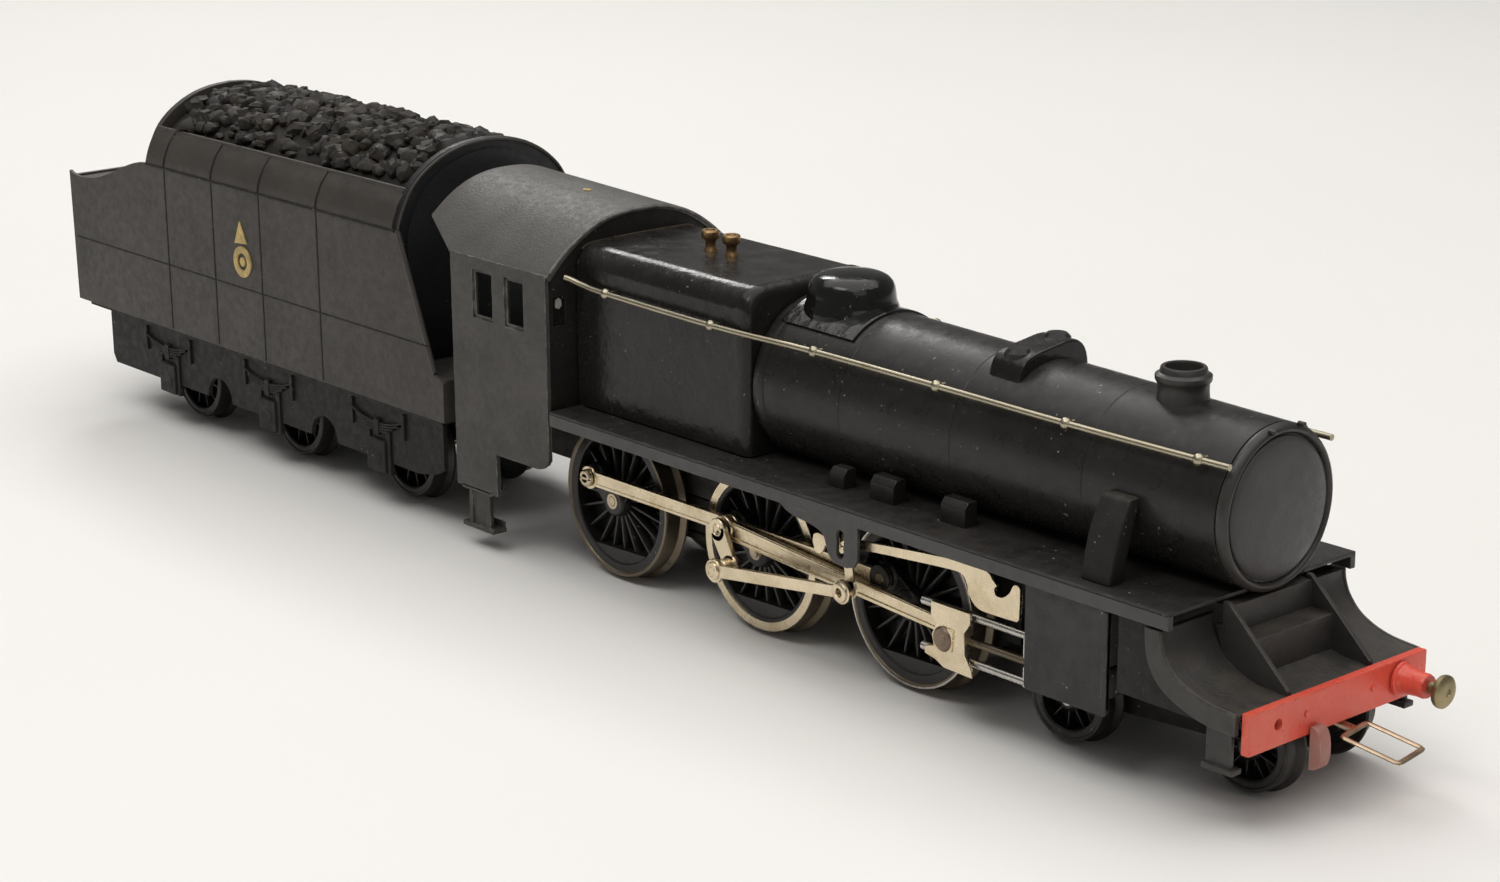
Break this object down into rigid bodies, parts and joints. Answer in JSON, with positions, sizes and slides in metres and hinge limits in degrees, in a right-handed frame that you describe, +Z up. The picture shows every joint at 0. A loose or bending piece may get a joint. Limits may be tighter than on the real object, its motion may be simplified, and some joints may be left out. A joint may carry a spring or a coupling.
{
  "type": "model steam locomotive",
  "caption": "Model steam locomotive with tender: black boiler, cab and coal tender, working outside rods and valve gear, swivelling leading bogie and hinged drawbar.",
  "frame": {"origin": "centre of the bounding box at rail level under the wheel flanges", "axes": "+X forward along the locomotive, +Y to its left side, +Z up"},
  "size_m": [0.2765, 0.0372, 0.0593],
  "materials": {
    "body_black": "satin, slightly dusty",
    "gloss_black": "gloss",
    "cab_black": "matt, worn",
    "tender_black": "matt, worn",
    "frame_black": "matt",
    "beam_red": "satin",
    "brass": "tarnished",
    "nickel_silver": "satin",
    "steel": "satin",
    "wheel_black": "satin",
    "coal": "rough",
    "motor_can": "satin",
    "gear_brass": "satin"
  },
  "bodies": {
    "loco": {"boiler": "body_black", "smokebox_door": "body_black", "chimney": "body_black", "dome": "gloss_black", "top_feed": "body_black", "firebox": "body_black", "safety_valve_1": "brass", "safety_valve_2": "brass", "handrail_right": "brass", "handrail_left": "brass", "cab": "cab_black", "running_plate": "body_black", "front_platform": "body_black", "buffer_beam": "beam_red", "buffer_stock_left": "beam_red", "buffer_head_left": "brass", "draw_hook": "beam_red", "coupling_pin": "steel", "chassis_block": "frame_black", "keeper_plate": "frame_black", "body_screw": "steel", "motor": "motor_can", "cylinder_block": "body_black", "slide_bars_right": "steel", "slide_bars_left": "steel", "valve_rod_right": "nickel_silver", "valve_rod_left": "nickel_silver", "bogie_screw": "steel", "drawbar_pin": "steel"},
    "worm": {"worm_shaft": "steel"},
    "axle_middle": {"driver_middle": "wheel_black", "drive_gear": "gear_brass", "return_crank_right": "nickel_silver", "return_crank_left": "nickel_silver"},
    "axle_front": {"driver_front": "wheel_black"},
    "axle_rear": {"driver_rear": "wheel_black"},
    "bogie": {"bogie_frame": "frame_black"},
    "bogie_axle_rear": {"bogie_wheels_rear": "wheel_black"},
    "bogie_axle_front": {"bogie_wheels_front": "wheel_black"},
    "coupling_loop": {"coupling_loop": "brass"},
    "drawbar": {"drawbar": "steel"},
    "tender": {"tender_body": "tender_black", "coal_load": "coal", "tender_chassis": "frame_black", "tender_pin": "steel", "tender_hook_pin": "steel"},
    "tender_axle_1": {"tender_wheels_1": "wheel_black"},
    "tender_axle_2": {"tender_wheels_2": "wheel_black"},
    "tender_axle_3": {"tender_wheels_3": "wheel_black"},
    "tender_hook": {"tender_hook": "steel"},
    "coupling_rod_right": {"coupling_rod_right": "nickel_silver"},
    "connecting_rod_right": {"connecting_rod_right": "nickel_silver"},
    "eccentric_rod_right": {"eccentric_rod_right": "nickel_silver"},
    "link_right": {"link_right": "nickel_silver"},
    "crosshead_right": {"crosshead_right": "nickel_silver"},
    "coupling_rod_left": {"coupling_rod_left": "nickel_silver"},
    "connecting_rod_left": {"connecting_rod_left": "nickel_silver"},
    "eccentric_rod_left": {"eccentric_rod_left": "nickel_silver"},
    "link_left": {"link_left": "nickel_silver"},
    "crosshead_left": {"crosshead_left": "nickel_silver"}
  },
  "joints": [
    {"name": "main_axle_spin", "type": "hinge", "parent": "loco", "child": "axle_middle", "pos_m": [0.03753, 0, 0.01222], "axis": [0, 1, 0], "continuous": true},
    {"name": "front_axle_spin", "type": "hinge", "parent": "loco", "child": "axle_front", "pos_m": [0.06723, 0, 0.01222], "axis": [0, 1, 0], "continuous": true},
    {"name": "rear_axle_spin", "type": "hinge", "parent": "loco", "child": "axle_rear", "pos_m": [0.00621, 0, 0.01222], "axis": [0, 1, 0], "continuous": true},
    {"name": "worm_spin", "type": "hinge", "parent": "loco", "child": "worm", "pos_m": [0.02894, 0, 0.02082], "axis": [1, 0, 0], "continuous": true},
    {"name": "coupling_rod_pin_right", "type": "hinge", "parent": "axle_middle", "child": "coupling_rod_right", "pos_m": [0.03372, 0, 0.01526], "axis": [0, 1, 0], "continuous": true},
    {"name": "crankpin_right", "type": "hinge", "parent": "axle_middle", "child": "connecting_rod_right", "pos_m": [0.03372, 0, 0.01526], "axis": [0, 1, 0], "continuous": true},
    {"name": "return_crank_pin_right", "type": "hinge", "parent": "axle_middle", "child": "eccentric_rod_right", "pos_m": [0.03638, 0, 0.0107], "axis": [0, 1, 0], "continuous": true},
    {"name": "crosshead_slide_right", "type": "slide", "parent": "loco", "child": "crosshead_right", "axis": [1, 0, 0], "range_m": [-0.00096, 0.00878]},
    {"name": "link_swing_right", "type": "hinge", "parent": "loco", "child": "link_right", "pos_m": [0.06083, 0, 0.02025], "axis": [0, 1, 0], "range_deg": [-31.6, 5.6]},
    {"name": "coupling_rod_pin_left", "type": "hinge", "parent": "axle_middle", "child": "coupling_rod_left", "pos_m": [0.04056, 0, 0.01604], "axis": [0, 1, 0], "continuous": true},
    {"name": "crankpin_left", "type": "hinge", "parent": "axle_middle", "child": "connecting_rod_left", "pos_m": [0.04056, 0, 0.01604], "axis": [0, 1, 0], "continuous": true},
    {"name": "return_crank_pin_left", "type": "hinge", "parent": "axle_middle", "child": "eccentric_rod_left", "pos_m": [0.036, 0, 0.01337], "axis": [0, 1, 0], "continuous": true},
    {"name": "crosshead_slide_left", "type": "slide", "parent": "loco", "child": "crosshead_left", "axis": [1, 0, 0], "range_m": [-0.00774, 0.002]},
    {"name": "link_swing_left", "type": "hinge", "parent": "loco", "child": "link_left", "pos_m": [0.06083, 0, 0.02025], "axis": [0, 1, 0], "range_deg": [-33.1, 4.1]},
    {"name": "bogie_pivot", "type": "hinge", "parent": "loco", "child": "bogie", "pos_m": [0.08624, 0, 0.01031], "axis": [0, 0, 1], "range_deg": [-14, 0.5]},
    {"name": "bogie_axle_spin_rear", "type": "hinge", "parent": "bogie", "child": "bogie_axle_rear", "pos_m": [0.09246, 0.00099, 0.0063], "axis": [-0.1564, 0.9877, 0], "continuous": true},
    {"name": "bogie_axle_spin_front", "type": "hinge", "parent": "bogie", "child": "bogie_axle_front", "pos_m": [0.11774, 0.00499, 0.0063], "axis": [-0.1564, 0.9877, 0], "continuous": true},
    {"name": "coupling_loop_swing", "type": "hinge", "parent": "loco", "child": "coupling_loop", "pos_m": [0.12062, 0, 0.01165], "axis": [0, 0, 1], "range_deg": [-2, 10]},
    {"name": "drawbar_swing", "type": "hinge", "parent": "loco", "child": "drawbar", "pos_m": [-0.01881, 0, 0.01452], "axis": [0, 0, 1], "range_deg": [-2.5, 2.5]},
    {"name": "tender_swing", "type": "hinge", "parent": "drawbar", "child": "tender", "pos_m": [-0.03075, 0, 0.01452], "axis": [0, 0, 1], "range_deg": [-4, 4]},
    {"name": "tender_axle_spin_1", "type": "hinge", "parent": "tender", "child": "tender_axle_1", "pos_m": [-0.04651, 0, 0.00831], "axis": [0, 1, 0], "continuous": true},
    {"name": "tender_axle_spin_2", "type": "hinge", "parent": "tender", "child": "tender_axle_2", "pos_m": [-0.07802, 0, 0.00831], "axis": [0, 1, 0], "continuous": true},
    {"name": "tender_axle_spin_3", "type": "hinge", "parent": "tender", "child": "tender_axle_3", "pos_m": [-0.10954, 0, 0.00831], "axis": [0, 1, 0], "continuous": true},
    {"name": "tender_hook_swing", "type": "hinge", "parent": "tender", "child": "tender_hook", "pos_m": [-0.13246, 0, 0.01222], "axis": [0, 0, 1], "range_deg": [-15, 15]}
  ],
  "couplings": [
    {"joint": "front_axle_spin", "follows": "main_axle_spin", "ratio": 1},
    {"joint": "rear_axle_spin", "follows": "main_axle_spin", "ratio": 1},
    {"joint": "worm_spin", "follows": "main_axle_spin", "ratio": 24},
    {"joint": "coupling_rod_pin_right", "follows": "main_axle_spin", "ratio": -1},
    {"joint": "crankpin_right", "follows": "main_axle_spin", "ratio": -1},
    {"joint": "return_crank_pin_right", "follows": "main_axle_spin", "ratio": -1},
    {"joint": "coupling_rod_pin_left", "follows": "main_axle_spin", "ratio": -1},
    {"joint": "crankpin_left", "follows": "main_axle_spin", "ratio": -1},
    {"joint": "return_crank_pin_left", "follows": "main_axle_spin", "ratio": -1}
  ]
}
